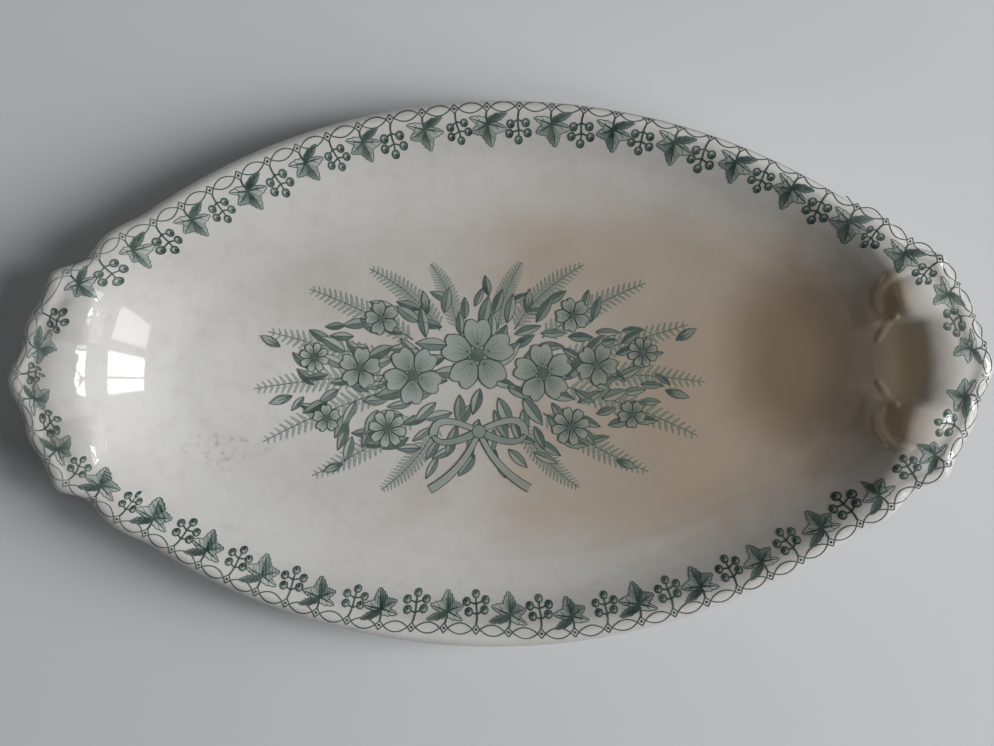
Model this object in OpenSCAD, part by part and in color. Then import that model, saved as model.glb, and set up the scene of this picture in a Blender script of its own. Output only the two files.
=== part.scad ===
// Oval appetizer dish in glazed earthenware, with two moulded lug handles.
// Millimetres, +Z up, long axis along X, origin on the table under the middle of the dish.

/* [Bowl] */
// Length of the bowl over its rim, without the handles
bowl_len = 224; // [200:1:240]
// Width of the bowl over its rim
bowl_w = 139; // [125:1:150]
// Radius of the long sides, in plan
side_r = 162; // [150:1:190]
// Height of the rim above the table
rim_h = 24; // [22:0.5:30]

/* [Wall] */
// Thickness of the wall and of the floor
wall_t = 4.4; // [3:0.1:6]
// Radius of the bend between the floor and the wall, at mid thickness
floor_r = 31; // [26:0.5:34]
// Slope of the straight stretch of the wall, in degrees
wall_slope = 45; // [40:1:50]
// Radius of the flare below the rim, at mid thickness
flare_r = 6; // [4:0.5:8]
// Slope of the wall where it meets the rim, in degrees
flare_slope = 20; // [15:1:25]

/* [Foot] */
// Height of the foot ring
foot_h = 4.6; // [3:0.1:5.5]
// Width of the foot ring's resting face
foot_w = 4; // [2.5:0.1:6]
// Distance from the edge of the floor in to the foot ring
foot_inset = 2; // [0:0.1:5]

/* [Handles] */
// Width of the ledge beside its knob, outside the rim
ledge_w = 10.9; // [7:0.1:14]
// Drop of the ledge from the rim to its outer edge
ledge_drop = 1.2; // [0:0.1:2.5]
// How much narrower the ledge is at its corners than beside its knob
ledge_taper = 3.4; // [1:0.1:5]
// Angle of the ledge's corners, seen from the centre of the rounded end
corner_a = 27.5; // [24:0.5:31]
// How far a corner stands out from the ledge
corner_out = 0.9; // [0.3:0.1:2]
// How far the knob in the middle stands out from the ledge
knob_out = 2.6; // [1:0.1:4]
// How far the scallop between the knob and a corner stands out from the ledge
scallop_out = 0.9; // [0.3:0.1:2]
// Angle at which the ears beyond the corners begin to taper off
ear_a = 42; // [40:0.5:44]
// How far an ear stands out from the rim
ear_out = 2.5; // [1:0.1:4]

/* [Scroll relief] */
// Distance of the scrolls in from the end of the rim
scroll_in = 5.5; // [5:0.5:7]
// Distance of a scroll from the long axis of the dish
scroll_y = 17.2; // [16:0.1:19]
// Radius of the C-shaped scroll
scroll_r = 6.4; // [6.2:0.1:7.2]
// Width of the scroll's rib
rib_w = 2; // [1.4:0.1:2.4]
// Height of the scroll's rib above the wall
rib_h = 1.1; // [0.6:0.1:1.6]
// Radius of the large lobe inside each scroll
lobe_r = 5; // [4:0.1:5.2]
// Height of the large lobe above the wall
lobe_h = 2; // [1:0.1:2.5]
// Radius of the small lobes on the ledge
bead_r = 3.4; // [2.4:0.1:3.8]
// Height of the small lobes above the ledge
bead_h = 1.3; // [0.5:0.1:2]

/* [Hidden] */

glaze = "#ddd5c6";
bare_clay = "#cdbfa8";

// Plan of the rim: an oval of four arcs, two long sides that run into two rounded ends.
half_len = bowl_len / 2;
half_w = bowl_w / 2;
side_c = side_r - half_w;
end_r = (2 * side_r * half_w - pow(half_w, 2) - pow(half_len, 2)) / (2 * (side_r - half_len));
end_c = half_len - end_r;
end_a = atan2(side_c, end_c);

// Section of the wall in [d, z], where d is the distance in from the outer edge of the rim.
// A slope is measured from the level floor, and lean() is the wall's upper normal at a slope.
function lean(slope) = [sin(slope), cos(slope)];
function down(slope) = [cos(slope), -sin(slope)];
lip_r = wall_t / 2;
lip = [lip_r, rim_h - lip_r];
flare_c = lip - flare_r * lean(flare_slope);
flare_end = flare_c + flare_r * lean(wall_slope);
bend_rise = floor_r * (1 - cos(wall_slope));
straight_len = (flare_end.y - foot_h - wall_t / 2 - bend_rise) / sin(wall_slope);
straight_end = flare_end + straight_len * down(wall_slope);
floor_c = straight_end + floor_r * lean(wall_slope);
floor_edge = floor_c.x;
floor_top = foot_h + wall_t;

// Height of the wall's upper face at a distance d in from the rim.
lip_end = lip.x + lip_r * sin(flare_slope);
bend_start = floor_c.x - (floor_r - lip_r) * sin(wall_slope);
flare_stop = flare_c.x + (flare_r + lip_r) * sin(wall_slope);
flare_stop_z = flare_c.y + (flare_r + lip_r) * cos(wall_slope);
function arc_z(r, x) = sqrt(max(0, r * r - x * x));
function wall_z(d) =
    d < lip_end ? lip.y + arc_z(lip_r, d - lip.x) :
    d < flare_stop ? flare_c.y + arc_z(flare_r + lip_r, d - flare_c.x) :
    d < bend_start ? flare_stop_z - (d - flare_stop) * tan(wall_slope) :
    d < floor_edge ? floor_c.y - arc_z(floor_r - lip_r, d - floor_c.x) : floor_top;

// Section of the wall as a closed line: up its inner face, over the lip and down its outer face.
bend_steps = 6;
flare_steps = 3;
lip_steps = 8;
function arc(centre, r, from_slope, to_slope, steps) =
    [for (i = [0 : steps]) centre + r * lean(from_slope + (to_slope - from_slope) * i / steps)];
lip_line = arc(lip, lip_r, flare_slope, flare_slope - 180, lip_steps);
section = concat(
    arc(floor_c, lip_r - floor_r, 0, wall_slope, bend_steps),
    arc(flare_c, flare_r + lip_r, wall_slope, flare_slope, flare_steps),
    [for (i = [1 : lip_steps - 1]) lip_line[i]],
    arc(flare_c, flare_r - lip_r, flare_slope, wall_slope, flare_steps),
    arc(floor_c, -lip_r - floor_r, wall_slope, 0, bend_steps));

// Stations round the rim, each with a point of the outline and the way in from it.
end_steps = 30;
side_steps = 14;
function stations(centre, r, from_a, to_a, steps) =
    [for (i = [0 : steps - 1]) let (a = from_a + (to_a - from_a) * i / steps, out = [cos(a), sin(a)])
        [centre + r * out, -out]];
rim = concat(
    stations([end_c, 0], end_r, -end_a, end_a, end_steps),
    stations([0, -side_c], side_r, end_a, 180 - end_a, side_steps),
    stations([-end_c, 0], end_r, 180 - end_a, 180 + end_a, end_steps),
    stations([0, side_c], side_r, 180 + end_a, 360 - end_a, side_steps));
function ring(p) = [for (s = rim) let (q = s[0] + p.x * s[1]) [q.x, q.y, p.y]];

// Solid through a row of rings that have as many points each, closed by its first and last ring.
module skin(rings) {
    n = len(rings[0]);
    last = len(rings) - 1;
    walls = [for (i = [0 : last - 1], k = [0 : n - 1]) let (a = i * n + k, b = i * n + (k + 1) % n)
        each [[a, b, b + n], [a, b + n, a + n]]];
    ends = [[for (k = [n - 1 : -1 : 0]) k], [for (k = [0 : n - 1]) last * n + k]];
    polyhedron(points = [for (r = rings) each r], faces = concat(walls, ends));
}

module dish_body() {
    color(glaze) skin([for (p = section) ring(p)]);
}

// The foot ring follows the edge of the floor.
foot_out = floor_edge + foot_inset;
function outline(d) = [for (s = rim) s[0] + d * s[1]];
module foot_ring() {
    color(bare_clay) linear_extrude(foot_h) difference() {
        polygon(outline(foot_out));
        polygon(outline(foot_out + foot_w));
    }
}

// Width of the ledge outside the rim at an angle about the centre of the rounded end.
function fade(a, from_a, to_a) = let (t = max(0, min(1, (a - from_a) / (to_a - from_a)))) t * t * (3 - 2 * t);
function swell(a, spread) = exp(-pow(a / spread, 2));
ledge_min = 0.2;
knob_spread = 6;
scallop_spread = 3.5;
corner_spread = 3;
shoulder = 9;
function ledge(angle) = let (
        a = abs(angle),
        plateau = ledge_w - ledge_taper * a / corner_a,
        past = fade(a, corner_a - 0.5, corner_a + shoulder),
        tail = fade(a, ear_a, end_a))
    ledge_min
    + plateau * (1 - past)
    + knob_out * swell(a, knob_spread)
    + scallop_out * swell(a - corner_a / 2, scallop_spread)
    + corner_out * swell(a - corner_a, corner_spread)
    + ear_out * past * (1 - tail);

// A handle clasps the lip from near its crest, round its outside and a little way down the flare.
crest = bend_steps + flare_steps + 2;
lip_foot = crest + lip_steps - 1;
under = lip_foot + flare_steps;
seam = [for (i = [crest : under]) section[i]];
seam_r = end_r - section[crest].x;
top_steps = 4;
function sink(w) = ledge_drop * pow(w / ledge_w, 2);

// Section of a handle in [r, z]: out along the ledge, round its lip, and back in along the seam.
// The seam's facet is flat between two stations of the rim, which brings it in a little.
function handle_section(w, facet) = let (
        last = len(seam) - 1,
        hold = lip_foot - crest,
        out = [for (i = [0 : last]) i <= hold ? 1 : (last - i) / (last - hold)])
    concat(
        [for (i = [0 : top_steps - 1]) let (t = i / top_steps)
            [(t == 0 ? facet : 1) * seam_r + w * t, seam[0].y - sink(w * t)]],
        [for (i = [0 : last - 1]) [end_r - seam[i].x + w * out[i], seam[i].y - sink(w) * out[i]]],
        [for (i = [last : -1 : 1]) [(end_r - seam[i].x) * facet, seam[i].y]]);

handle_steps = 2 * end_steps;
module handle() {
    color(glaze) skin([for (i = [handle_steps : -1 : 0]) let (
            a = end_a * (2 * i / handle_steps - 1),
            facet = i % 2 == 0 ? 1 : cos(end_a / end_steps))
        [for (p = handle_section(ledge(a), facet)) [end_c + p.x * cos(a), p.x * sin(a), p.y]]]);
}
module right_handle() { handle(); }
module left_handle() { mirror([1, 0, 0]) handle(); }

// Height of the upper face of the rounded end, on the wall or out on the ledge, at a point of the plan.
function end_z(p) = let (
        out = norm([p.x - end_c, p.y]),
        w = ledge(atan2(p.y, p.x - end_c)))
    out < seam_r ? wall_z(end_r - out) : rim_h - sink(min(w, out - seam_r));

// Half-round rib that lies on the upper face along a path in plan.
function across(path, i) = let (
        a = path[max(0, i - 1)],
        b = path[min(len(path) - 1, i + 1)],
        way = (b - a) / norm(b - a))
    [-way.y, way.x];
rib_half = 3;
module rib(path, widths, height) {
    skin([for (i = [0 : len(path) - 1]) let (
            reach = widths[i] / 2 * across(path, i),
            rise = height * widths[i] / max(widths))
        concat(
            [for (k = [-rib_half : rib_half]) let (s = k / rib_half, p = path[i] + s * reach)
                [p.x, p.y, end_z(p) + rise * sqrt(1 - s * s)]],
            [for (k = [rib_half - 1 : -1 : 1 - rib_half]) let (p = path[i] + k / rib_half * reach)
                [p.x, p.y, end_z(p)]])]);
}

// Round lobe that lies on the upper face at a point of the plan.
lobe_rings = 4;
lobe_sides = 14;
lobe_core = 0.1;
module lobe(at, r, height) {
    function circle_at(share, lift) = [for (k = [0 : lobe_sides - 1]) let (
            p = at + r * share * [cos(360 * k / lobe_sides), sin(360 * k / lobe_sides)])
        [p.x, p.y, end_z(p) + lift]];
    shares = [for (i = [0 : lobe_rings]) (i + lobe_core) / (lobe_rings + lobe_core)];
    skin(concat(
        [for (s = shares) circle_at(s, height * sqrt(1 - s * s))],
        [for (i = [lobe_rings - 1 : -1 : 0]) circle_at(shares[i], 0)]));
}

// One scroll: a C-shaped rib round a large lobe, its spur towards the bowl, and a small lobe beside the axis.
scroll_at = [half_len - scroll_in, scroll_y];
bow_from = 75;
bow_to = 235;
bow_steps = 14;
spur_steps = 6;
spur_way = [-0.385, -0.923];
lobe_at = scroll_at + [0.8, -1.4];
bead_at = [half_len + 2.3, 2.1 * bead_r];
axis_bead_at = [half_len + 1.2, 0];
module scroll() {
    bow = [for (i = [0 : bow_steps]) let (a = bow_from + (bow_to - bow_from) * i / bow_steps)
        scroll_at + scroll_r * [cos(a), sin(a)]];
    bow_widths = [for (i = [0 : bow_steps]) rib_w * (0.45 + 0.55 * sin(180 * i / bow_steps))];
    spur_from = scroll_at + (scroll_r + rib_w) * [cos(bow_to), sin(bow_to)];
    spur = [for (i = [0 : spur_steps]) spur_from + scroll_r * i / spur_steps * spur_way];
    spur_widths = [for (i = [0 : spur_steps]) rib_w * (1 - 0.7 * i / spur_steps)];
    rib(bow, bow_widths, rib_h);
    rib(spur, spur_widths, rib_h);
    lobe(lobe_at, lobe_r, lobe_h);
    lobe(bead_at, bead_r, bead_h);
}
module scrolls() {
    color(glaze) {
        scroll();
        mirror([0, 1, 0]) scroll();
        lobe(axis_bead_at, bead_r, bead_h);
    }
}
module right_scrolls() { scrolls(); }
module left_scrolls() { mirror([1, 0, 0]) scrolls(); }

dish_body();
foot_ring();
left_handle();
right_handle();
left_scrolls();
right_scrolls();
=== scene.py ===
import random
from bisect import bisect_right
from math import atan2, ceil, cos, copysign, exp, hypot, pi, radians, sin, sqrt, tan
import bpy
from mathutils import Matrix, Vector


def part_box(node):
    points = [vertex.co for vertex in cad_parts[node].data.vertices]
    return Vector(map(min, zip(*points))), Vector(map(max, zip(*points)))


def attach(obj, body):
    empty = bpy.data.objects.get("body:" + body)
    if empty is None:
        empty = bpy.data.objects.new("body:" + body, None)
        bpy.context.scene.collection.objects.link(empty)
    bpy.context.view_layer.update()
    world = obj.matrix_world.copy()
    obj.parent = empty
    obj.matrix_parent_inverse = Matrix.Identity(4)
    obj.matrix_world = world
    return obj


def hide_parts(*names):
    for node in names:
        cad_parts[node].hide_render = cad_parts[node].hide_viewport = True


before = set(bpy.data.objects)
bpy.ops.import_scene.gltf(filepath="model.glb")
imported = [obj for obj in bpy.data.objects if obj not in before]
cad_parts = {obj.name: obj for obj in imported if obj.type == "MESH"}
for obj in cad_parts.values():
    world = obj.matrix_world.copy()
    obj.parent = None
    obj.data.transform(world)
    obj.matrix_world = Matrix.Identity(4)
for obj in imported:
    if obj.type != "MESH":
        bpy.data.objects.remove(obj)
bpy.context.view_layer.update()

from types import SimpleNamespace

import bmesh
import bpy
from mathutils import Matrix, Vector

# Oval appetizer dish in glazed earthenware, with two moulded lug handles and a printed border and spray.
# Shapes are worked out in millimetres and made metres when a piece is finished.
MM = 0.001

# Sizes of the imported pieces
half_len, half_wide, rim_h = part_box("dish_body")[1] / MM
foot_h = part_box("dish_body")[0].z / MM
foot_out_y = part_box("foot_ring")[1].y / MM

# Plan of the rim: two long sides that run into two rounded ends
side_r = 162.0
side_c = side_r - half_wide
end_r = (2 * side_r * half_wide - half_wide ** 2 - half_len ** 2) / (2 * (side_r - half_len))
end_c = half_len - end_r
end_a = atan2(side_c, end_c)

# Section of the wall in (d, z), where d is the distance in from the outer edge of the rim
wall_t = 4.4
floor_r = 31.0
wall_slope = radians(45)
flare_r = 6.0
flare_slope = radians(20)


def lean(slope):
    """Upper normal of the wall at a slope, in (d, z)."""
    return Vector((sin(slope), cos(slope)))


lip_r = wall_t / 2
lip = Vector((lip_r, rim_h - lip_r))
flare_c = lip - flare_r * lean(flare_slope)
flare_end = flare_c + flare_r * lean(wall_slope)
bend_rise = floor_r * (1 - cos(wall_slope))
straight_len = (flare_end.y - foot_h - lip_r - bend_rise) / sin(wall_slope)
straight_end = flare_end + straight_len * Vector((cos(wall_slope), -sin(wall_slope)))
floor_c = straight_end + floor_r * lean(wall_slope)
floor_edge = floor_c.x

lip_end = lip.x + lip_r * sin(flare_slope)
lip_end_z = lip.y + lip_r * cos(flare_slope)
flare_stop = flare_c + (flare_r + lip_r) * lean(wall_slope)
bend_start = floor_c.x - (floor_r - lip_r) * sin(wall_slope)

# Outline of a handle's ledge, by angle about the centre of the rounded end
ledge_w = 10.9
ledge_taper = 3.4
corner_a = radians(27.5)
corner_out = 0.9
corner_w = radians(3)
knob_out = 2.6
knob_w = radians(6)
scallop_out = 0.9
scallop_w = radians(3.5)
ledge_stop = (corner_a - radians(0.5), corner_a + radians(9))
ear_a = radians(42)
ear_out = 2.5


def fade(value, start, end):
    """0 before start, 1 after end, and smooth between them."""
    t = max(0.0, min(1.0, (value - start) / (end - start)))
    return t * t * (3 - 2 * t)


def swell(value, spread):
    """1 at 0, falling away smoothly on both sides."""
    return exp(-(value / spread) ** 2)


def ledge(angle):
    """Width of the ledge outside the rim."""
    a = abs(angle)
    past = fade(a, *ledge_stop)
    flat = (ledge_w - ledge_taper * a / corner_a) * (1 - past)
    knob = knob_out * swell(a, knob_w)
    scallop = scallop_out * swell(a - corner_a / 2, scallop_w)
    corner = corner_out * swell(a - corner_a, corner_w)
    ear = ear_out * past * (1 - fade(a, ear_a, end_a))
    return flat + knob + scallop + corner + ear


# Height of the upper face of the dish: the ledge has a rolled edge with a hollow behind it
shoulder = 5.4
ledge_drop = 1.2
roll_h = 0.6
roll_w = 1.5
roll_in = 0.5
hollow_d = 0.15
hollow_w = 1.7
hollow_in = 2.2 * hollow_w
wide_ledge = 6.0


def lip_top(d, w):
    """Height of the lip, and of a ledge of width w behind it."""
    out = lip_end - d
    crest = w + lip_end - lip_r
    run = lip_end - lip_r + min(w, shoulder)
    rise = min(out, run, crest)
    wide = fade(w, 0, wide_ledge)
    z = lip_end_z + tan(flare_slope) * (rise - rise * rise / (2 * run))
    if out > run:
        z -= ledge_drop * ((min(out, crest) - run) / ledge_w) ** 2
    z += wide * roll_h * swell(min(out, crest) - crest + roll_in, roll_w)
    z -= wide * hollow_d * swell(out - crest + hollow_in, hollow_w) * fade(out, 0, 2)
    if out > crest:
        z -= lip_r - sqrt(max(0.0, lip_r ** 2 - (out - crest) ** 2))
    return z


def wall_top(d, w=0.0):
    """Height of the upper face at a distance in from the rim, with a ledge of width w."""
    if d < lip_end:
        return lip_top(d, w)
    if d < flare_stop.x:
        return flare_c.y + sqrt((flare_r + lip_r) ** 2 - (d - flare_c.x) ** 2)
    if d < bend_start:
        return flare_stop.y - (d - flare_stop.x) * tan(wall_slope)
    if d < floor_edge:
        return floor_c.y - sqrt((floor_r - lip_r) ** 2 - (d - floor_c.x) ** 2)
    return foot_h + wall_t


# How each handle's ledge waves along its inner edge: a bay, small lobes in it, and a large lobe each side
left_relief = SimpleNamespace(
    strength=0.0,  # of the swellings and the scroll
    middle=0.0,  # y that the relief is the same on both sides of
    bay=(radians(7), radians(15)),  # angles between which the bay ends
    bay_depth=0.8,
    bay_reach=(2, 6),  # distances in from the rim between which the bay fades
    small_in=0.75,
    large_in=1.36,
    large_half=radians(10),
    flank=(5, 9),  # distances in between which the large lobe fades
    pad_in=2.0,
)
right_relief = SimpleNamespace(
    strength=1.0,
    middle=1.8,
    bay=(radians(11.6), radians(15.6)),
    bay_depth=3.0,
    bay_reach=(5, 26),
    small_in=0.0,
    large_in=2.6,
    large_half=radians(9),
    flank=(4, 11),
    pad_in=4.0,
)
small_lobe_a = radians(8)
small_lobe_w = radians(2.1)
middle_lobe_w = radians(2)
small_reach = 6
large_lobe_a = radians(19.5)

# Swellings of the relief: place in plan, half sizes along the dish and across it, and height
swellings = (
    (Vector((half_len + 2.3, 7.1)), 3.6, 3.4, 0.15),
    (Vector((half_len + 1.4, 0)), 3.3, 3.0, 0.1),
    (Vector((half_len + 1.2, 26.2)), 3.4, 3.2, 0.25),
)

# Pad of the large lobe, highest at its inner edge
pad_at = Vector((half_len - 8.6, 15.4))
pad_out = 13.0
pad_half = 6.2
pad_h = 1.0

# C-shaped scroll on the wall beside the large lobe, its ball and its tail
scroll_at = Vector((half_len - 8.3, 15.8))
scroll_r = 6.3
scroll_w = 2.4
scroll_from = radians(75)
scroll_to = radians(235)
scroll_h = 0.9
ball_at = Vector((half_len - 10.6, 11.0))
ball_r = 1.5
ball_h = 0.6
tail_from = Vector((half_len - 11.0, 11.2))
tail_to = Vector((half_len - 14.0, 5.4))
tail_w = 1.8
tail_h = 0.5
scroll_margin = 2.0


def ridge(distance, half):
    """Soft ridge or knob, from 1 on its middle to 0 at its half width."""
    return max(0.0, 1 - (distance / half) ** 2) ** 2 if half > 0 else 0.0


def scroll_height(x, y):
    """What the scroll, its ball and its tail add to the height of the wall."""
    if x < tail_to.x - scroll_margin or y > scroll_at.y + scroll_r + scroll_margin:
        return 0.0
    at = Vector((x, y))
    arm = at - scroll_at
    turn = atan2(arm.y, arm.x) % (2 * pi)
    along = (turn - scroll_from) / (scroll_to - scroll_from)
    height = 0.0
    if 0 < along < 1:
        taper = sin(pi * along) ** 0.6
        height += scroll_h * taper * ridge(arm.length - scroll_r, scroll_w * taper)
    height += ball_h * ridge((at - ball_at).length, ball_r)
    way = tail_to - tail_from
    share = max(0.0, min(1.0, (at - tail_from).dot(way) / way.length_squared))
    away = (at - tail_from - share * way).length
    height += tail_h * (1 - 0.5 * share) * ridge(away, tail_w * (1 - 0.4 * share))
    return height


def handle_top(x, y, relief):
    """Height of the upper face in a rounded end, with the relief of its handle."""
    w = ledge(atan2(y, x - end_c))
    d = end_r - hypot(x - end_c, y)
    y = abs(y - relief.middle)
    a = atan2(y, x - end_c)
    out = relief.bay_depth * (1 - fade(a, *relief.bay))
    small = relief.small_in * (swell(a - small_lobe_a, small_lobe_w) + swell(a, middle_lobe_w))
    large = relief.large_in * ridge(a - large_lobe_a, relief.large_half)
    shift = out * (1 - fade(d, *relief.bay_reach))
    shift -= small * (1 - fade(d, 0, small_reach))
    shift -= large * (1 - fade(d, *relief.flank))
    z = wall_top(d + shift, w + small + large - out)
    across = (x - pad_at.x) / (pad_out if x > pad_at.x else relief.pad_in)
    reach = across ** 2 + ((y - pad_at.y) / pad_half) ** 2
    if reach < 1:
        z += pad_h * (1 - reach)
    for place, long_half, wide_half, height in swellings:
        reach = ((x - place.x) / long_half) ** 2 + ((y - place.y) / wide_half) ** 2
        if reach < 1:
            z += relief.strength * height * (1 - reach)
    return z + relief.strength * scroll_height(x, y)


def glaze_top(x, y):
    """Height of the upper face of the dish at a point of the plan. The left relief is worn softer."""
    if atan2(abs(y), abs(x) - end_c) >= end_a:
        return wall_top(side_r - hypot(x, abs(y) + side_c))
    return handle_top(abs(x), y, left_relief if x < 0 else right_relief)


def glaze_normal(x, y):
    """Direction that the upper face looks in at a point of the plan."""
    step = 0.04
    slope_x = (glaze_top(x + step, y) - glaze_top(x - step, y)) / (2 * step)
    slope_y = (glaze_top(x, y + step) - glaze_top(x, y - step)) / (2 * step)
    return Vector((-slope_x, -slope_y, 1)).normalized()


# Mesh helpers, with the steps of a sweep along half of a rounded end and half of a long side

end_steps = 110
side_steps = 50


def sweep_oval(points, closed):
    """Sweeps a section of (d, z) points round a quarter of the rim, mirrors it and numbers its rows."""
    bm = bmesh.new()
    row = bm.verts.layers.int.new("row")
    chain = []
    for number, (d, z) in enumerate(points):
        chain.append(bm.verts.new((half_len - d, 0, z)))
        chain[-1][row] = number
    pairs = list(zip(chain, chain[1:]))
    if closed:
        pairs.append((chain[-1], chain[0]))
    last = chain + [bm.edges.new(pair) for pair in pairs]
    end_arc = ((end_c, 0, 0), end_a, end_steps)
    side_arc = ((0, -side_c, 0), pi / 2 - end_a, side_steps)
    for cent, angle, steps in (end_arc, side_arc):
        spun = bmesh.ops.spin(bm, geom=last, cent=cent, axis=(0, 0, 1), angle=angle, steps=steps)
        last = spun["geom_last"]
    for axis in ("X", "Y"):
        bmesh.ops.mirror(bm, geom=[*bm.verts, *bm.edges, *bm.faces], axis=axis, merge_dist=0.002)
    return bm


def finish_piece(name, bm, materials, normals=None):
    """Turns a bmesh in millimetres into a piece of the dish."""
    mesh = bpy.data.meshes.new(name)
    bm.to_mesh(mesh)
    bm.free()
    mesh.transform(Matrix.Scale(MM, 4))
    mesh.shade_smooth()
    for material in materials:
        mesh.materials.append(material)
    if normals:
        mesh.normals_split_custom_set_from_vertices(normals)
    piece = bpy.data.objects.new(name, mesh)
    bpy.context.scene.collection.objects.link(piece)
    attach(piece, "root")
    return piece


def glazed_section():
    """Rows of the section as (d, z, face, share), where share is how far a row goes out with the ledge."""
    rows = []

    def arc(centre, radius, start, end, steps, face, shares=(0, 0)):
        for i in range(steps):
            t = i / steps
            p = centre + radius * lean(start + (end - start) * t)
            rows.append((p.x, p.y, face, shares[0] + (shares[1] - shares[0]) * t))

    def straight(start, end, steps, face):
        for i in range(steps):
            p = start.lerp(end, i / steps)
            rows.append((p.x, p.y, face, 0))

    inner = floor_r - lip_r
    outer = floor_r + lip_r
    arc(floor_c, -inner, 0, 0.6 * wall_slope, 12, "top")
    arc(floor_c, -inner, 0.6 * wall_slope, wall_slope, 20, "top")
    straight(floor_c - inner * lean(wall_slope), flare_stop, 14, "top")
    arc(flare_c, flare_r + lip_r, wall_slope, flare_slope, 10, "top")
    arc(lip, lip_r, flare_slope, 0, 24, "top", (0, 1))
    arc(lip, lip_r, 0, flare_slope - pi, 12, "lip", (1, 1))
    arc(flare_c, flare_r - lip_r, flare_slope, wall_slope, 9, "under", (1, 0))
    straight(flare_end - lip_r * lean(wall_slope), straight_end - lip_r * lean(wall_slope), 6, "under")
    arc(floor_c, -outer, wall_slope, 0, 12, "under")
    rows.append((floor_edge, foot_h, "under", 0))
    return rows


def make_dish(material):
    """Glazed bowl and handles in one skin, with the ledges drawn out of the rim."""
    rows = glazed_section()
    bm = sweep_oval([row[:2] for row in rows], closed=False)
    row_layer = bm.verts.layers.int["row"]
    ends = [edge for edge in bm.edges if edge.is_boundary]
    bmesh.ops.edgeloop_fill(bm, edges=ends)
    lifts = {}
    for vert in bm.verts:
        _, z, face, share = rows[vert[row_layer]]
        x, y = vert.co.xy
        angle = atan2(abs(y), abs(x) - end_c)
        lift = 0.0
        if angle < end_a:
            station = (round(angle, 4), x < 0, y < 0)
            w = ledge(angle)
            if station not in lifts:
                crest = end_r - lip_r + w
                crest_x = copysign(end_c + crest * cos(angle), x)
                lifts[station] = glaze_top(crest_x, copysign(crest * sin(angle), y)) - rim_h
            lift = lifts[station]
            x += copysign(w * share * cos(angle), x)
            y += copysign(w * share * sin(angle), y)
        vert.co = (x, y, glaze_top(x, y) if face == "top" else z + lift * share)
    bmesh.ops.recalc_face_normals(bm, faces=bm.faces)
    dish = finish_piece("glazed_dish", bm, [material])
    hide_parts("dish_body", "left_handle", "right_handle", "left_scrolls", "right_scrolls")


def make_foot_ring(material):
    """Low ring with rounded edges, a little narrower at the table than at the floor."""
    outer = half_wide - foot_out_y
    width = 4.0
    flare = 0.5
    edge = 0.7
    edge_steps = 4
    top = foot_h + 0.2
    turns = [i / edge_steps * pi / 2 for i in range(edge_steps + 1)]
    points = [(outer - flare, top)]
    points += [(outer + edge * (1 - cos(turn)), edge * (1 - sin(turn))) for turn in turns]
    points += [(outer + width - edge * (1 - sin(turn)), edge * (1 - cos(turn))) for turn in turns]
    points.append((outer + width + flare, top))
    bm = sweep_oval(points, closed=True)
    bmesh.ops.recalc_face_normals(bm, faces=bm.faces)
    foot = finish_piece("foot_ring_turned", bm, [material])
    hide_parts("foot_ring")


# Prints: flat shapes in millimetres that are cut into small cells and laid on the glaze

film_lift = 0.075
film_sink = 0.08
level_h = 0.012  # between the levels of strokes and patches that lie on each other


def bow(start, control, end, steps):
    """Points of a curve from start to end that is drawn towards a control point."""
    a, b, c = Vector(start), Vector(control), Vector(end)
    points = []
    for i in range(steps + 1):
        t = i / steps
        points.append(a * (1 - t) ** 2 + b * 2 * t * (1 - t) + c * t * t)
    return points


def ring(centre, radius, steps):
    """Points round a circle."""
    turns = [2 * pi * i / steps for i in range(steps)]
    return [Vector((centre[0] + radius * cos(turn), centre[1] + radius * sin(turn))) for turn in turns]


def split(path, longest):
    """The same path with its long steps cut into short ones."""
    points = [path[0]]
    for a, b in zip(path, path[1:]):
        parts = ceil((b - a).length / longest)
        points += [a.lerp(b, i / parts) for i in range(1, parts + 1)]
    return points


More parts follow.
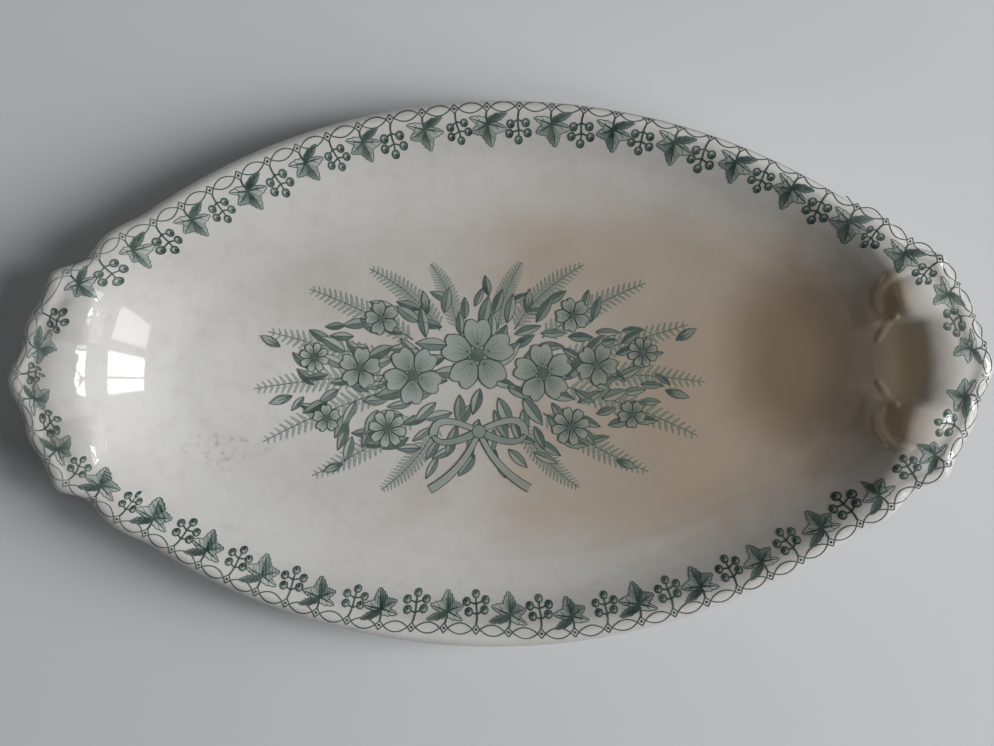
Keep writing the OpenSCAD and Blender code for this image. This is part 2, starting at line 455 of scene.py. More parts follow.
class Ink:
    """A printed sheet: flat patches and strokes, each with a tone from 0, bare, to 1, solid."""

    def __init__(self, cells=0.6):
        self.cells = cells
        self.bm = bmesh.new()
        self.tone = self.bm.verts.layers.float.new("tone")

    def patch(self, outline, tone, level=0, cells=0):
        """Filled shape. The tone is a number, or a function of the place."""
        cells = cells or self.cells
        verts = [self.bm.verts.new((p[0], p[1], level * level_h)) for p in outline]
        face = self.bm.faces.new(verts)
        face.normal_update()
        if face.normal.z < 0:
            face.normal_flip()
        geom = [face, *face.verts, *face.edges]
        for axis, normal in enumerate((Vector((1, 0, 0)), Vector((0, 1, 0)))):
            low = min(p[axis] for p in outline)
            high = max(p[axis] for p in outline)
            for k in range(ceil(low / cells), ceil(high / cells)):
                cut = bmesh.ops.bisect_plane(
                    self.bm, geom=geom, dist=1e-5, plane_co=normal * k * cells, plane_no=normal
                )
                geom = cut["geom"]
        for vert in geom:
            if isinstance(vert, bmesh.types.BMVert):
                vert[self.tone] = tone(vert.co.x, vert.co.y) if callable(tone) else tone

    def stroke(self, path, start_w, end_w, tone=1.0, level=2):
        """Band along a path that narrows or widens from one end to the other."""
        path = split(path, self.cells)
        sides = []
        for i, p in enumerate(path):
            way = (path[min(len(path) - 1, i + 1)] - path[max(0, i - 1)]).normalized()
            across = Vector((-way.y, way.x)) * (start_w + (end_w - start_w) * i / (len(path) - 1)) / 2
            pair = [self.bm.verts.new((*edge, level * level_h)) for edge in (p + across, p - across)]
            for vert in pair:
                vert[self.tone] = tone
            sides.append(pair)
        for (a, b), (c, d) in zip(sides, sides[1:]):
            self.bm.faces.new((a, b, d, c))

    def outline(self, points, width, tone=1.0, level=2):
        """Line round a closed shape."""
        self.stroke([*points, points[0]], width, width, tone, level)

    def stamp(self, motif, place, turn=0.0, size=1.0, strength=1.0, stretch=1.0):
        """Adds a copy of another sheet, turned and moved to a place."""
        mesh = bpy.data.meshes.new("motif")
        motif.bm.to_mesh(mesh)
        self.bm.verts.ensure_lookup_table()
        before = len(self.bm.verts)
        self.bm.from_mesh(mesh)
        bpy.data.meshes.remove(mesh)
        self.bm.verts.ensure_lookup_table()
        new = self.bm.verts[before:]
        grow = Matrix.Diagonal((size * stretch, size, 1, 1))
        move = Matrix.Translation((*place, 0)) @ Matrix.Rotation(turn, 4, "Z") @ grow
        bmesh.ops.transform(self.bm, matrix=move, verts=new)
        for vert in new:
            vert[self.tone] *= strength

    def lay(self, name, material, plan, mirrored=False):
        """Gives the sheet its thickness and lays it on the glaze, at the places that plan() gives."""
        lower = self.bm.verts[:]
        bmesh.ops.extrude_face_region(self.bm, geom=self.bm.faces[:])
        for vert in lower:
            vert.co.z = -film_sink
        normals = []
        for vert in self.bm.verts:
            x, y = plan(vert.co.x, vert.co.y)
            normal = glaze_normal(x, y)
            height = vert.co.z if vert.co.z < 0 else vert.co.z + film_lift
            vert.co = Vector((x, y, glaze_top(x, y))) + normal * height
            normals.append(normal)
        if mirrored:
            bmesh.ops.reverse_faces(self.bm, faces=self.bm.faces)
        piece = finish_piece(name, self.bm, [material], normals)


# Border: a lace of two crossing strands with a small diamond at each crossing, hung with leaves and
# berries. It was laid by hand in two strips that meet on the handles, and wanders in and out.

border_inset = 2.3
border_shift = Vector((0.4, 0.9))
border_strips = (
    # first and last leaf along the lace, number of leaves, how far the middle was pushed along
    (158.4, 457.0, 19, 5.0),
    (477.8, 741.6, 17, 2.2),
)
border_out = 0.9
border_bays = (
    # place along the lace, how far in, spread
    (0, 1.0, 40),
    (308, 2.2, 20),
    (522, 3.2, 45),
)


def rail(angle):
    """How far the lace goes out on a handle: it follows the ledge, and bridges its scallops."""
    around = (-5, -2.5, 0, 2.5, 5)
    mean = sum(ledge(angle + radians(a)) for a in around) / len(around)
    return mean * (1 - fade(angle, end_a - radians(12), end_a))


def border_stations():
    """Points of the lace's middle line, clockwise from the middle of the far side, with their lengths."""
    steps = 1600
    points = []
    for i in range(steps + 1):
        turn = pi / 2 - 2 * pi * i / steps
        out = Vector((cos(turn), sin(turn)))
        from_axis = atan2(abs(out.y), abs(out.x))
        if from_axis < end_a:
            reach = end_r + rail(from_axis) - border_inset
            points.append(Vector((copysign(end_c, out.x), 0)) + out * reach)
        else:
            points.append(Vector((0, -copysign(side_c, out.y))) + out * (side_r - border_inset))
    lengths = [0.0]
    for a, b in zip(points, points[1:]):
        lengths.append(lengths[-1] + (b - a).length)
    return points, lengths


border_points, border_lengths = border_stations()
border_len = border_lengths[-1]
border_pitch = 16.6
crumple_spread = 26
crumple_short = 0.15
crumple_wave = 0.7
edge_gap = 0.35
faint_share = 0.45
faint_spread = 45


def border_plan(u, v):
    """Place on the dish of a point of the border, u along its lace and v in from it.

    The handles crumple it a little, and along the sides it stays off the very edge.
    """
    crumple = swell((u % (border_len / 2)) - border_len / 4, crumple_spread)
    v *= 1 - crumple_short * crumple
    u = (u + crumple_wave * crumple * sin(0.8 * v + 0.5 * u)) % border_len
    i = min(bisect_right(border_lengths, u), len(border_points) - 1)
    a = border_points[i - 1]
    b = border_points[i]
    share = (u - border_lengths[i - 1]) / (border_lengths[i] - border_lengths[i - 1])
    before = border_points[i - 2] if i > 1 else border_points[-2]
    after = border_points[i + 1] if i + 1 < len(border_points) else border_points[1]
    way = (a - before).normalized().lerp((after - b).normalized(), share).normalized()
    for bay, depth, spread in border_bays:
        away = (u - bay + border_len / 2) % border_len - border_len / 2
        v += depth * swell(away, spread)
    at = a.lerp(b, share) + Vector((way.y, -way.x)) * (v - border_out) + border_shift
    x, y = abs(at.x), abs(at.y)
    over = edge_gap - (side_r - hypot(x, y + side_c))
    if over > 0 and atan2(y, x - end_c) >= end_a:
        at -= Vector((at.x, at.y + copysign(side_c, at.y))).normalized() * over
    return at.x, at.y


def leaf_motif():
    """Ivy leaf of five lobes that hangs from the lace. Each lobe has a darker and a paler half."""
    leaf = Ink()
    middle = Vector((0.1, 3.9))
    lobes_of_leaf = (
        # direction from the tip, length, tone of each half
        (12, 5.1, 0.85, 0.55),
        (79, 4.9, 0.35, 0.45),
        (118, 5.5, 0.85, 1.0),
        (252, 4.6, 0.15, 0.25),
        (295, 4.3, 0.5, 0.7),
    )
    notches = ((46, 2.9), (100, 2.0), (182, 1.0), (270, 2.3), (333, 2.8))

    def at(turn, length):
        return middle + Vector((sin(radians(turn)), cos(radians(turn)))) * length

    for i, (turn, length, first, second) in enumerate(lobes_of_leaf):
        tip = at(turn, length)
        for side, tone in ((i - 1, first), (i, second)):
            notch_turn, notch_length = notches[side]
            apart = (notch_turn - turn + 180) % 360 - 180
            bulge = 0.6 if notch_length < 1.5 else 0.84
            flank = bow(at(notch_turn, notch_length), at(turn + apart / 2, length * bulge), tip, 6)
            for k in range(1, 6):
                flank[k] += (flank[k] - middle).normalized() * (0.16 if k % 2 else -0.14)

            def shade(x, y, tone=tone, length=length):
                reach = (Vector((x, y)) - middle).length / length
                return max(0.0, min(1.0, tone + 0.5 * (0.55 - reach)))

            leaf.patch([middle, *flank], shade)
            leaf.stroke(flank, 0.2, 0.26, 0.85)
        leaf.stroke(bow(middle, at(turn + 4, length * 0.5), at(turn, length * 0.9), 5), 0.5, 0.16, 1.0, 3)
        for side in (-1, 1):
            leaf.stroke([at(turn, length * 0.4), at(turn + side * 14, length * 0.68)], 0.2, 0.12, 0.85, 3)
    leaf.stroke(bow((0, 0.9), (-0.3, 2.2), middle, 5), 0.42, 0.5, 1.0, 3)
    return leaf


def berry_motif():
    """Branching stem with five berries that hangs from the lace."""
    sprig = Ink()
    fork = Vector((-0.2, 3.3))
    crook = Vector((0.1, 5.6))
    sprig.stroke(bow((0, 1.1), (-0.3, 2.2), fork, 4), 0.42, 0.4)
    sprig.stroke(bow(fork, (-0.2, 4.6), crook, 4), 0.4, 0.36)
    for start, place in (
        (fork, (-2.1, 4.3)),
        (fork, (1.9, 3.9)),
        (crook, (-2.4, 6.5)),
        (crook, (2.5, 6.2)),
        (crook, (0.1, 7.9)),
    ):
        sprig.stroke([start, Vector(place)], 0.36, 0.3)
        sprig.patch(ring(place, 1.06, 14), 1.0, 3)
        sprig.patch(ring((place[0] - 0.1, place[1] - 0.1), 0.74, 12), 0.75, 4)
        sprig.patch(ring((place[0] - 0.25, place[1] - 0.3), 0.3, 8), 0.3, 5)
        sprig.patch(ring((place[0] + 0.16, place[1] + 0.2), 0.4, 8), 1.0, 5)
    return sprig


def lace_motif():
    """One link of the lace: half a diamond at each end, and a lens-shaped loop between them."""
    link_of_lace = Ink()
    half = border_pitch / 4
    knot = 1.0
    loop_h = 1.3
    knot_h = 1.15
    loop = half - knot
    for side in (-1, 1):
        path = [Vector((-half, -side * knot_h)), Vector((-loop, 0))]
        path += [Vector((x * loop / 8, side * loop_h * (1 - (x / 8) ** 2))) for x in range(-7, 8)]
        path += [Vector((loop, 0)), Vector((half, -side * knot_h))]
        link_of_lace.stroke(path, 0.28, 0.28, 0.85, 1 if side < 0 else 2)
    link_of_lace.patch(ring((half, 0), 0.34, 8), 1.0, 3)
    return link_of_lace


def make_border(material):
    """Lace, leaves and berries, each leaf and sprig a little turned and more or less inked."""
    shake = random.Random(11)
    lace = Ink()
    leaves = Ink()
    berries = Ink()
    link_of_lace = lace_motif()
    leaf = leaf_motif()
    sprig = berry_motif()

    anchors = []
    for first, last, count, push in border_strips:
        for half_unit in range(2 * count):
            share = half_unit / 2 / (count - 1)
            anchors.append((first + (last - first) * share + push * sin(pi * share), half_unit % 2))
    ends = [u for u, kind in anchors[1:]] + [anchors[0][0] + border_len]
    for (u, kind), end in zip(anchors, ends):
        faint = 1 - faint_share * swell(u - 0.75 * border_len, faint_spread)
        lace.stamp(link_of_lace, ((u + end) / 2, 0), strength=faint, stretch=2 * (end - u) / border_pitch)
        turn = radians(shake.uniform(-7, 7))
        size = shake.uniform(0.95, 1.05)
        from_tip = (u % (border_len / 2)) - border_len / 4
        strength = shake.uniform(0.84, 0.96) * (1 - 0.12 * swell(from_tip, 28))
        if kind == 0:
            leaves.stamp(leaf, (u, 0), turn, size, strength)
        elif end - u > border_pitch / 3:
            berries.stamp(sprig, (u, 0), turn, size, strength)
    lace.lay("border_lace", material, border_plan, mirrored=True)
    leaves.lay("border_leaves", material, border_plan, mirrored=True)
    berries.lay("border_berries", material, border_plan, mirrored=True)


# Spray in the middle of the floor


def leaflet(sheet, base, tip, width, dark, pale, level):
    """Pointed leaf with a darker and a paler half."""
    base = Vector(base)
    tip = Vector(tip)
    way = tip - base
    across = Vector((-way.y, way.x)).normalized() * width
    middle = base.lerp(tip, 0.42)
    for side, tone in ((1, dark), (-1, pale)):
        edge = bow(base, middle + side * across, tip, 6)
        sheet.patch(edge, tone, level)
        sheet.stroke(edge, 0.22, 0.22, 0.95, level + 0.5)
    sheet.stroke([base, tip], 0.3, 0.12, 1.0, level + 0.7)


def fern(sheet, path, leaf_len, tone, level):
    """Feathery frond: pairs of leaflets along a rib, each cut into small lobes."""
    lobes = []
    for step in range(1, 4):
        lobes.append((step / 4 - 0.06, 1.25 - 0.3 * step))
        lobes.append((step / 4 + 0.1, 0.45))
    sheet.stroke(path, 0.4, 0.2, tone + 0.35, level)
    for i in range(1, len(path) - 1):
        base = path[i]
        way = (path[i + 1] - path[i - 1]).normalized()
        share = i / (len(path) - 1)
        size = leaf_len * (0.4 + 0.9 * share) * (1.12 - share) * 1.6
        for side in (-1, 1):
            out = Matrix.Rotation(side * radians(58), 2) @ way
            across = Vector((-out.y, out.x)) * size * 0.2
            tip = base + out * size
            edge = [base]
            edge += [base.lerp(tip, along) + across * wide for along, wide in lobes]
            edge.append(tip)
            edge += [base.lerp(tip, along) - across * wide for along, wide in reversed(lobes)]
            sheet.patch(edge, tone, level)
            level += 0.01


def petals(sheet, kind, centre, radius, turn, level):
    """Open flower of rounded petals, darker towards its middle."""
    count, notch, dark, pale = kind
    centre = Vector(centre)

    def at(angle, length):
        return centre + Vector((cos(angle), sin(angle))) * length

    half = pi / count * 0.96
    for i in range(count):
        a = turn + 2 * pi * i / count
        left = bow(at(a, radius * 0.16), at(a - half * 1.5, radius * 0.72), at(a - half * 0.5, radius), 5)
        top = bow(left[-1], at(a - half * 0.2, radius * 1.06), at(a, radius * notch), 3)
        right_top = bow(top[-1], at(a + half * 0.2, radius * 1.06), at(a + half * 0.5, radius), 3)
        right = bow(right_top[-1], at(a + half * 1.5, radius * 0.72), at(a, radius * 0.16), 5)
        edge = [*left, *top[1:], *right_top[1:], *right[1:-1]]

        def shade(x, y):
            reach = (Vector((x, y)) - centre).length / radius
            return dark + (pale - dark) * min(1.0, reach * 1.1)

        sheet.patch(edge, shade, level, radius / 5)
        sheet.outline(edge, 0.24, 1.0, level + 2)
        for vein in (-0.3, 0, 0.3):
            inner = at(a + vein * half, radius * 0.28)
            outer = at(a + vein * half * 1.3, radius * 0.7)
            sheet.stroke([inner, outer], 0.2, 0.1, 0.8, level + 2)
    sheet.patch(ring(centre, radius * 0.2, 12), 0.9, level + 3)
    for i in range(count * 2):
        spot = at(turn + pi * i / count, radius * 0.31)
        sheet.patch(ring(spot, radius * 0.035, 6), 1.0, level + 3)


def bud(sheet, base, tip, width, level):
    """Closed flower on its stalk."""
    base = Vector(base)
    tip = Vector(tip)
    way = (tip - base).normalized()
    across = Vector((-way.y, way.x)) * width
    waist = base.lerp(tip, 0.4)
    body = [*bow(base, waist + across * 1.5, tip, 5), *bow(tip, waist - across * 1.5, base, 5)[1:-1]]
    sheet.patch(body, 0.55, level)
    sheet.outline(body, 0.22, 1.0, level + 2)
    for side in (-1, 0, 1):
        end = base.lerp(tip, 0.6) + across * side * 0.7
        sheet.stroke([base, end], 0.5, 0.15, 0.95, level + 3 + 0.5 * side)


def ribbon(sheet, path, width, tone, level):
    """Band with a line along each edge, which widens towards its end."""
    sheet.stroke(path, width * 0.6, width, tone, level)
    for side in (-1, 1):
        edge = []
        for i, p in enumerate(path):
            way = (path[min(len(path) - 1, i + 1)] - path[max(0, i - 1)]).normalized()
            edge.append(p + side * Vector((-way.y, way.x)) * width * (0.3 + 0.2 * i / (len(path) - 1)))
        sheet.stroke(edge, 0.22, 0.22, 1.0, level + 1)


def foliage(sheet, half_sizes, count, level):
    """Thicket of leaves that point outwards, the outer ones under the inner ones."""
    shake = random.Random(5)
    for i in reversed(range(count)):
        reach = sqrt((i + 0.5) / count)
        turn = i * pi * (3 - sqrt(5))
        out = Vector((cos(turn) * half_sizes[0], sin(turn) * half_sizes[1]))
        base = out * reach
        way = Matrix.Rotation(radians(shake.uniform(-50, 50)), 2) @ out.normalized()
        size = shake.uniform(6.5, 9.5) * (1.1 - 0.35 * reach)
        dark = shake.uniform(0.7, 1.0)
        pale = dark - shake.uniform(0.2, 0.45)
        leaflet(sheet, base, base + way * size, size * shake.uniform(0.3, 0.4), dark, pale, level)
        level += 0.05


spray_strength = 0.87
spray_at = Vector((-5.0, -1.0))
spray_cells = 6.0
frond_level = 1
thicket_level = 2
flower_level = 14
ribbon_level = 15
knot_level = 18
knot_at = (0, -14)
knot_r = 1.8

# Flowers: number of petals, how far out their notch is, and the tones of the middle and of the edge
briar = (5, 0.9, 0.8, 0.4)
daisy = (8, 1.0, 0.75, 0.35)

# What is drawn on each side of the spray
fronds = (
    # tip, where it bends, length of its leaflets
    ((57, -16), (32, -3), 4.6),
    ((59, -2), (34, 2), 4.4),
    ((55, 13), (30, 6), 4.4),
    ((44, 24), (22, 16), 4.2),
    ((28, 29), (10, 20), 4.0),
    ((12, 30), (4, 20), 3.4),
    ((44, -25), (22, -16), 4.2),
    ((26, -29), (12, -20), 3.8),
)
flowers = (
    # kind, place, radius, turn
    (briar, (17, 1), 7.6, 0.4),
    (briar, (31, 3), 5.4, 1.1),
    (daisy, (24, -13), 4.8, 0.2),
    (briar, (25, 16), 4.4, 0.7),
    (daisy, (43, 6), 3.8, 0.3),
    (briar, (40, -10), 3.6, 0.9),
)
buds = (
    # base, tip, width
    ((52, 9), (57, 12), 1.5),
    ((49, -4), (55, -6), 1.5),
    ((36, -22), (41, -24), 1.4),
    ((13, 17), (14, 23), 1.4),
)
ribbons = (
    # start, where it bends, end, steps, width, tone
    (knot_at, (12, -8), (12, -15), 8, 2.2, 0.45),
    ((12, -15), (10, -19), knot_at, 8, 2.0, 0.6),
    (knot_at, (4, -24), (13, -29), 10, 2.2, 0.45),
)


def on_side(side, *places):
    """The places on the right of the spray, where side is 1, or their mirror images on the left."""
    return [Vector((side * x, y)) for x, y in places]


def make_spray(material):
    """Two-way spray of wild flowers and fern, tied with a ribbon."""
    sheet = Ink(spray_cells)
    for side in (-1, 1):
        for tip, bend, size in fronds:
            rib = bow(*on_side(side, (5, 1), bend, tip), 30)
            fern(sheet, rib[10:], size, 0.55, frond_level)
    foliage(sheet, (47, 22), 150, thicket_level)
    for side in (-1, 1):
        for kind, place, radius, turn in flowers:
            petals(sheet, kind, *on_side(side, place), radius, turn * side, flower_level)
        for base, tip, width in buds:
            bud(sheet, *on_side(side, base, tip), width, flower_level)
        for start, bend, end, steps, width, tone in ribbons:
            ribbon(sheet, bow(*on_side(side, start, bend, end), steps), width, tone, ribbon_level)
    petals(sheet, briar, (0, 6), 9.4, pi / 2, ribbon_level)
    knot = ring(knot_at, knot_r, 12)
    sheet.patch(knot, 0.6, knot_level)
    sheet.outline(knot, 0.24, 1.0, knot_level + 1)
    for vert in sheet.bm.verts:
        vert[sheet.tone] *= spray_strength
    sheet.lay("printed_spray", material, lambda x, y: (x + spray_at.x, y + spray_at.y))


# Shader helpers


def link(tree, start, end):
    tree.links.new(start, end)


def add_node(tree, kind, **values):
    """Adds a shader node and sets its properties, and its inputs by name."""
    node = tree.nodes.new(kind)
    for key, value in values.items():
        if key in node.inputs:
            node.inputs[key].default_value = value
        else:
            setattr(node, key, value)
    return node


def feed(tree, socket, value):
    """Links a socket to an output, or sets it to a number or a colour."""
    if isinstance(value, (int, float, tuple)):
        socket.default_value = value
    else:
        link(tree, value, socket)


def mix_color(tree, factor, a, b):
    """Mixes two colours. Its sockets share names with those for numbers, so they are picked by place."""
    node = add_node(tree, "ShaderNodeMix", data_type="RGBA")
    feed(tree, node.inputs[0], factor)
    feed(tree, node.inputs[6], a)
    feed(tree, node.inputs[7], b)
    return node.outputs[2]


def paint(r, g, b):
    """Colour written as sRGB from 0 to 255, as the shader's linear values."""
    def channel(c):
        c /= 255
        return c / 12.92 if c <= 0.04045 else ((c + 0.055) / 1.055) ** 2.4
    return channel(r), channel(g), channel(b), 1.0


def aged_glaze_group():
    """Cream glaze with tan stains on the floor, pale wall, fine crazing and a few brown specks, with
    painted light at the left end and in the right bay, and painted shade towards the right.
    """
    group = bpy.data.node_groups.new("aged_glaze", "ShaderNodeTree")
    sockets = {"Color": "NodeSocketColor", "Roughness": "NodeSocketFloat", "Height": "NodeSocketFloat"}
    for name, kind in sockets.items():
        group.interface.new_socket(name, in_out="OUTPUT", socket_type=kind)
    out = group.nodes.new("NodeGroupOutput")
    coords = group.nodes.new("ShaderNodeTexCoord")
    to_mm = add_node(group, "ShaderNodeVectorMath", operation="SCALE")
    to_mm.inputs["Scale"].default_value = 1 / MM
    link(group, coords.outputs["Object"], to_mm.inputs[0])
    place = to_mm.outputs["Vector"]

    def noise(scale, detail, rough=0.5, distortion=0.0):
        node = add_node(group, "ShaderNodeTexNoise", Scale=scale, Detail=detail)
        node.inputs["Roughness"].default_value = rough
        node.inputs["Distortion"].default_value = distortion
        link(group, place, node.inputs["Vector"])
        return node.outputs["Fac"]

    def ramp(value, low, high):
        node = add_node(group, "ShaderNodeMapRange", interpolation_type="SMOOTHSTEP")
        node.inputs["From Min"].default_value = low
        node.inputs["From Max"].default_value = high
        link(group, value, node.inputs["Value"])
        return node.outputs["Result"]

    def math(operation, a, b):
        node = add_node(group, "ShaderNodeMath", operation=operation)
        feed(group, node.inputs[0], a)
        feed(group, node.inputs[1], b)
        return node.outputs["Value"]

    def oval(centre, radii):
        """Distance from a point of the plan, 1 on the edge of an oval."""
        node = add_node(group, "ShaderNodeMapping", vector_type="TEXTURE")
        node.inputs["Location"].default_value = (*centre, 0)
        node.inputs["Scale"].default_value = (*radii, 1e6)
        link(group, place, node.inputs["Vector"])
        length = add_node(group, "ShaderNodeVectorMath", operation="LENGTH")
        link(group, node.outputs["Vector"], length.inputs[0])
        return length.outputs["Value"]

    # Stains and painted light: the floor is paler at its left and tan to the right, and brown at its right
    # end, partly stain and partly painted shade; the right handle's bay is painted a lighter gold
    split_place = group.nodes.new("ShaderNodeSeparateXYZ")
    link(group, place, split_place.inputs["Vector"])
    along = split_place.outputs["X"]
    cloud = noise(0.035, 4, 0.55)
    blotches = ramp(noise(0.03, 4, 0.55, 0.4), 0.42, 0.68)

    def soft_oval(centre, radii, waver, full, none):
        """Mask with a wavering edge, from 1 at the distance full to 0 at the distance none."""
        return ramp(math("ADD", oval(centre, radii), math("MULTIPLY", cloud, waver)), none, full)

    # Paler, near-white glaze at the left end: partly clean glaze, partly painted light where that end
    # faces the lamps
    clean_and_painted_light_mask = soft_oval((-68, 0), (44, 30), 0.3, 0.3, 1.3)
    floor_mask = soft_oval((18, -1), (94, 49), 0.3, 0.85, 1.3)
    # Tan that grows from left to right: partly stain on the floor, partly painted shade for the light that
    # falls off to the right
    tan_and_painted_shade_mask = math("MULTIPLY", floor_mask, ramp(math("ADD", along, math("MULTIPLY", cloud, 60)), -10, 90))
    # Brown at the right end: partly stain, partly painted shade on the wall that faces away from the lamps
    brown_stain_and_painted_shade_mask = soft_oval((81, 2), (27, 33), 0.5, 0.6, 1.35)
    # Lighter gold in the right handle's bay and on the flanks of its large lobes: partly a warm tint,
    # partly painted light over their shade
    gold_tint_and_painted_light_mask = math("MULTIPLY", ramp(along, 96, 103), soft_oval((102, 1.8), (9, 12), 0.1, 0.7, 1.15))
    for flank_y in (17.3, -13):
        gold_tint_and_painted_light_mask = math("MAXIMUM", gold_tint_and_painted_light_mask, soft_oval((99.8, flank_y), (5.8, 8.5), 0.1, 0.5, 1.2))
    mottle = ramp(noise(0.22, 4, 0.6, 0.3), 0.45, 0.75)
    spots = ramp(noise(0.45, 3), 0.5, 0.7)
    low_spots = math("MULTIPLY", soft_oval((-71, -19), (16, 7), 0.4, 0.5, 1.3), spots)
    specks = ramp(noise(1.6, 2, 0.6), 0.74, 0.8)

    color = mix_color(group, ramp(noise(0.02, 2), 0.35, 0.7), paint(214, 214, 211), paint(208, 206, 202))
    # Painted light: the left end is made paler
    color = mix_color(group, clean_and_painted_light_mask, color, paint(238, 238, 236))

    def tint(color, mask, share, tone):
        """Tints a colour with a share of a mask."""
        return mix_color(group, math("MULTIPLY", mask, share), color, tone)

    color = tint(color, floor_mask, 0.3, paint(198, 190, 180))
    # Painted shade with tan stain: the floor darkens towards the right
    color = mix_color(group, tan_and_painted_shade_mask, color, paint(165, 152, 138))
    color = tint(color, math("MULTIPLY", floor_mask, blotches), 0.25, paint(172, 150, 128))
    color = tint(color, mottle, 0.16, paint(176, 158, 140))
    color = tint(color, low_spots, 0.5, paint(190, 160, 140))
    # Painted shade with brown stain at the right end
    color = tint(color, brown_stain_and_painted_shade_mask, 0.9, paint(118, 102, 83))
    # Painted light with a warm tint in the right handle's bay and on its lobe flanks
    color = tint(color, gold_tint_and_painted_light_mask, 0.85, paint(214, 194, 162))
    color = tint(color, math("MULTIPLY", specks, blotches), 0.35, paint(140, 108, 82))

    # Crazing: the edges of bent cells
    cells = add_node(group, "ShaderNodeTexVoronoi", feature="DISTANCE_TO_EDGE", Scale=0.28, Randomness=1.0)
    warp = add_node(group, "ShaderNodeTexNoise", Scale=0.25, Detail=2.0)
    link(group, place, warp.inputs["Vector"])
    bent = add_node(group, "ShaderNodeVectorMath", operation="MULTIPLY_ADD")
    link(group, warp.outputs["Color"], bent.inputs[0])
    bent.inputs[1].default_value = (3, 3, 3)
    link(group, place, bent.inputs[2])
    link(group, bent.outputs["Vector"], cells.inputs["Vector"])
    crazing = ramp(cells.outputs["Distance"], 0.035, 0.0)
    color = tint(color, crazing, 0.04, paint(150, 120, 92))
    link(group, color, out.inputs["Color"])
    link(group, noise(0.07, 1), out.inputs["Height"])
    rough = math("ADD", math("MULTIPLY", noise(0.15, 3), 0.05), 0.03)
    link(group, rough, out.inputs["Roughness"])
    return group


def glossy_material(name, group):
    """Material with the shine and the bumps of the aged glaze, its shader, and the glaze's node in it."""
    material = bpy.data.materials.new(name)
    material.use_nodes = True
    tree = material.node_tree
    shader = tree.nodes["Principled BSDF"]
    shader.inputs["IOR"].default_value = 1.52
    aged = add_node(tree, "ShaderNodeGroup", node_tree=group)
    link(tree, aged.outputs["Roughness"], shader.inputs["Roughness"])
    bump = add_node(tree, "ShaderNodeBump", Strength=0.25, Distance=0.0004)
    link(tree, aged.outputs["Height"], bump.inputs["Height"])
    link(tree, bump.outputs["Normal"], shader.inputs["Normal"])
    return material, shader, aged


def glaze_material(group):
    material, shader, aged = glossy_material("glazed_earthenware", group)
    link(material.node_tree, aged.outputs["Color"], shader.inputs["Base Color"])
    return material


def printed_material(group):
    """Green transfer print under the glaze, hatched in its middle tones and greener where it is thin."""
    material, shader, aged = glossy_material("printed_glaze", group)
    tree = material.node_tree
    tone = add_node(tree, "ShaderNodeAttribute", attribute_name="tone")
    coords = tree.nodes.new("ShaderNodeTexCoord")
    hatch = add_node(tree, "ShaderNodeTexWave", Scale=1300.0, Distortion=1.2, Detail=1.0)
    hatch.bands_direction = "DIAGONAL"
    link(tree, coords.outputs["Object"], hatch.inputs["Vector"])
    blotch = add_node(tree, "ShaderNodeTexNoise", Scale=350.0, Detail=3.0)
    link(tree, coords.outputs["Object"], blotch.inputs["Vector"])
    lines = add_node(tree, "ShaderNodeMath", operation="MULTIPLY_ADD")
    link(tree, hatch.outputs["Fac"], lines.inputs[0])
    lines.inputs[1].default_value = 0.22
    link(tree, tone.outputs["Fac"], lines.inputs[2])
    strength = add_node(tree, "ShaderNodeMapRange")
    link(tree, lines.outputs["Value"], strength.inputs["Value"])
    strength.inputs["From Min"].default_value = 0.15
    strength.inputs["From Max"].default_value = 1.0
    worn = add_node(tree, "ShaderNodeMapRange")
    link(tree, blotch.outputs["Fac"], worn.inputs["Value"])
    worn.inputs["To Min"].default_value = 0.8
    worn.inputs["To Max"].default_value = 1.15
    density = add_node(tree, "ShaderNodeMath", operation="MULTIPLY", use_clamp=True)
    link(tree, strength.outputs["Result"], density.inputs[0])
    link(tree, worn.outputs["Result"], density.inputs[1])
    ink = mix_color(tree, density.outputs["Value"], paint(24, 130, 116), paint(53, 69, 66))
    color = mix_color(tree, density.outputs["Value"], aged.outputs["Color"], ink)
    link(tree, color, shader.inputs["Base Color"])
    return material


def bare_clay_material():
    material = bpy.data.materials.new("bare_clay")
    material.use_nodes = True
    tree = material.node_tree
    shader = tree.nodes["Principled BSDF"]
    coords = tree.nodes.new("ShaderNodeTexCoord")
    grit = add_node(tree, "ShaderNodeTexNoise", Scale=900.0, Detail=4.0)
    link(tree, coords.outputs["Object"], grit.inputs["Vector"])
    tones = tree.nodes.new("ShaderNodeValToRGB")
    tones.color_ramp.elements[0].color = paint(164, 140, 110)
    tones.color_ramp.elements[1].color = paint(206, 188, 160)
    link(tree, grit.outputs["Fac"], tones.inputs["Fac"])
    link(tree, tones.outputs["Color"], shader.inputs["Base Color"])
    shader.inputs["Roughness"].default_value = 0.85
    bump = add_node(tree, "ShaderNodeBump", Strength=0.4, Distance=0.0002)
    link(tree, grit.outputs["Fac"], bump.inputs["Height"])
    link(tree, bump.outputs["Normal"], shader.inputs["Normal"])
    return material


# Stage, light and camera


def make_floor():
    """Pale surface that the dish stands on."""
    bm = bmesh.new()
    bmesh.ops.create_grid(bm, x_segments=1, y_segments=1, size=3.0)
    mesh = bpy.data.meshes.new("floor")
    bm.to_mesh(mesh)
    bm.free()
    floor = bpy.data.objects.new("floor", mesh)
    bpy.context.scene.collection.objects.link(floor)
    material = bpy.data.materials.new("pale_floor")
    material.use_nodes = True
    shader = material.node_tree.nodes["Principled BSDF"]
    shader.inputs["Base Color"].default_value = paint(214, 216, 218)
    shader.inputs["Roughness"].default_value = 0.8
    mesh.materials.append(material)


def aim(obj, target):
    obj.rotation_euler = (Vector(target) - obj.location).to_track_quat("-Z", "Y").to_euler()


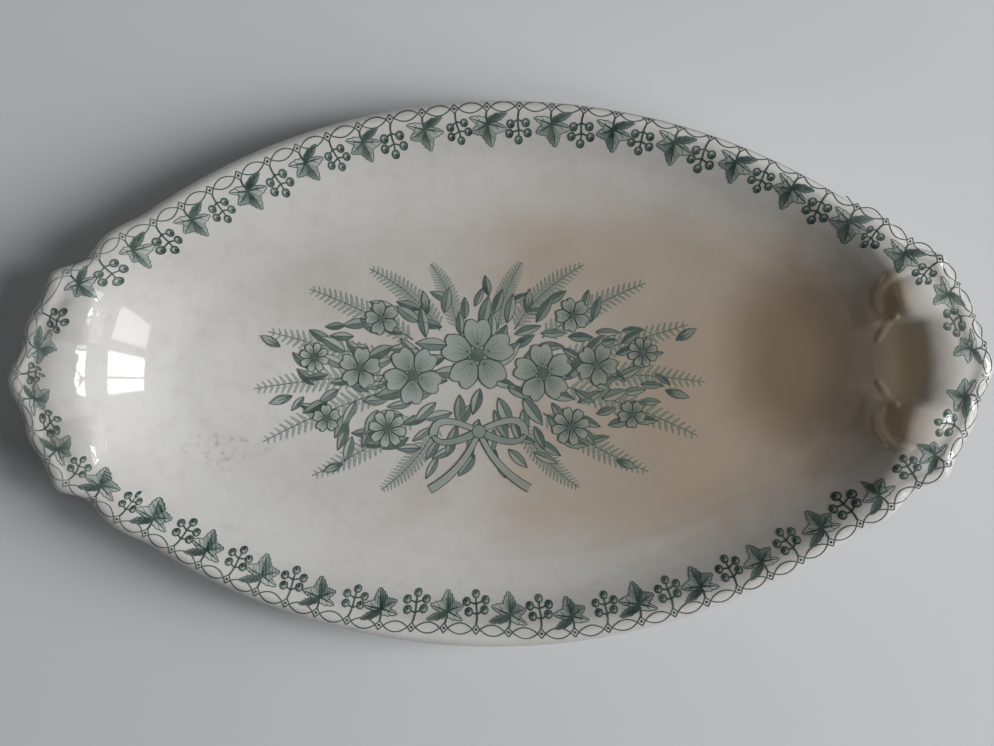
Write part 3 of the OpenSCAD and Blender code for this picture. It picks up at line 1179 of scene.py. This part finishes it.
def make_light(name, place, target, size, power):
    lamp = bpy.data.lights.new(name, "AREA")
    lamp.shape = "RECTANGLE"
    lamp.size, lamp.size_y = size
    lamp.energy = power
    obj = bpy.data.objects.new(name, lamp)
    bpy.context.scene.collection.objects.link(obj)
    obj.location = place
    aim(obj, target)


def make_lights():
    """Three upright window panes beyond the right handle, and two soft boxes that fill the shadows."""
    pane_x = 1.0
    sill = 0.34
    pane_h = 1.26
    middle = sill + pane_h / 2
    for name, y, width, glow in (
        ("pane_near", -0.5, 0.32, 4.5),
        ("pane_mid", -0.13, 0.2, 14.6),
        ("pane_far", 0.06, 0.12, 14.6),
    ):
        make_light(name, (pane_x, y, middle), (0, y, middle), (width, pane_h), glow * pi * width * pane_h)
    dish_middle = (0, 0, 0.02)
    make_light("side", (0.3, 1.1, 0.82), dish_middle, (1.2, 1.2), 1.5)
    make_light("overhead", (-0.36, -0.06, 1.37), dish_middle, (1.4, 1.4), 1.2)
    world = bpy.data.worlds.new("room")
    world.use_nodes = True
    background = world.node_tree.nodes["Background"]
    background.inputs["Color"].default_value = (1.0, 1.0, 1.0, 1.0)
    background.inputs["Strength"].default_value = 0.01
    bpy.context.scene.world = world


def make_camera():
    """Camera above the dish, a little to its right, turned as in the photograph."""
    lean_right = radians(3)
    roll = radians(-0.88)
    distance = 0.5
    photo_wide = 994
    mm_per_pixel = 0.2536
    frame_width = photo_wide * mm_per_pixel * MM
    target = Vector((0.7, 0.2, rim_h)) * MM
    camera = bpy.data.cameras.new("camera")
    camera.lens = camera.sensor_width * distance / frame_width
    obj = bpy.data.objects.new("camera", camera)
    bpy.context.scene.collection.objects.link(obj)
    stand = Matrix.Translation((0, 0, distance)) @ Matrix.Rotation(roll, 4, "Z")
    obj.matrix_world = Matrix.Translation(target) @ Matrix.Rotation(lean_right, 4, "Y") @ stand
    bpy.context.scene.camera = obj


aged_glaze = aged_glaze_group()
make_dish(glaze_material(aged_glaze))
make_foot_ring(bare_clay_material())
ink = printed_material(aged_glaze)
make_border(ink)
make_spray(ink)
make_floor()
make_lights()
make_camera()
bpy.context.scene.view_settings.view_transform = "Standard"
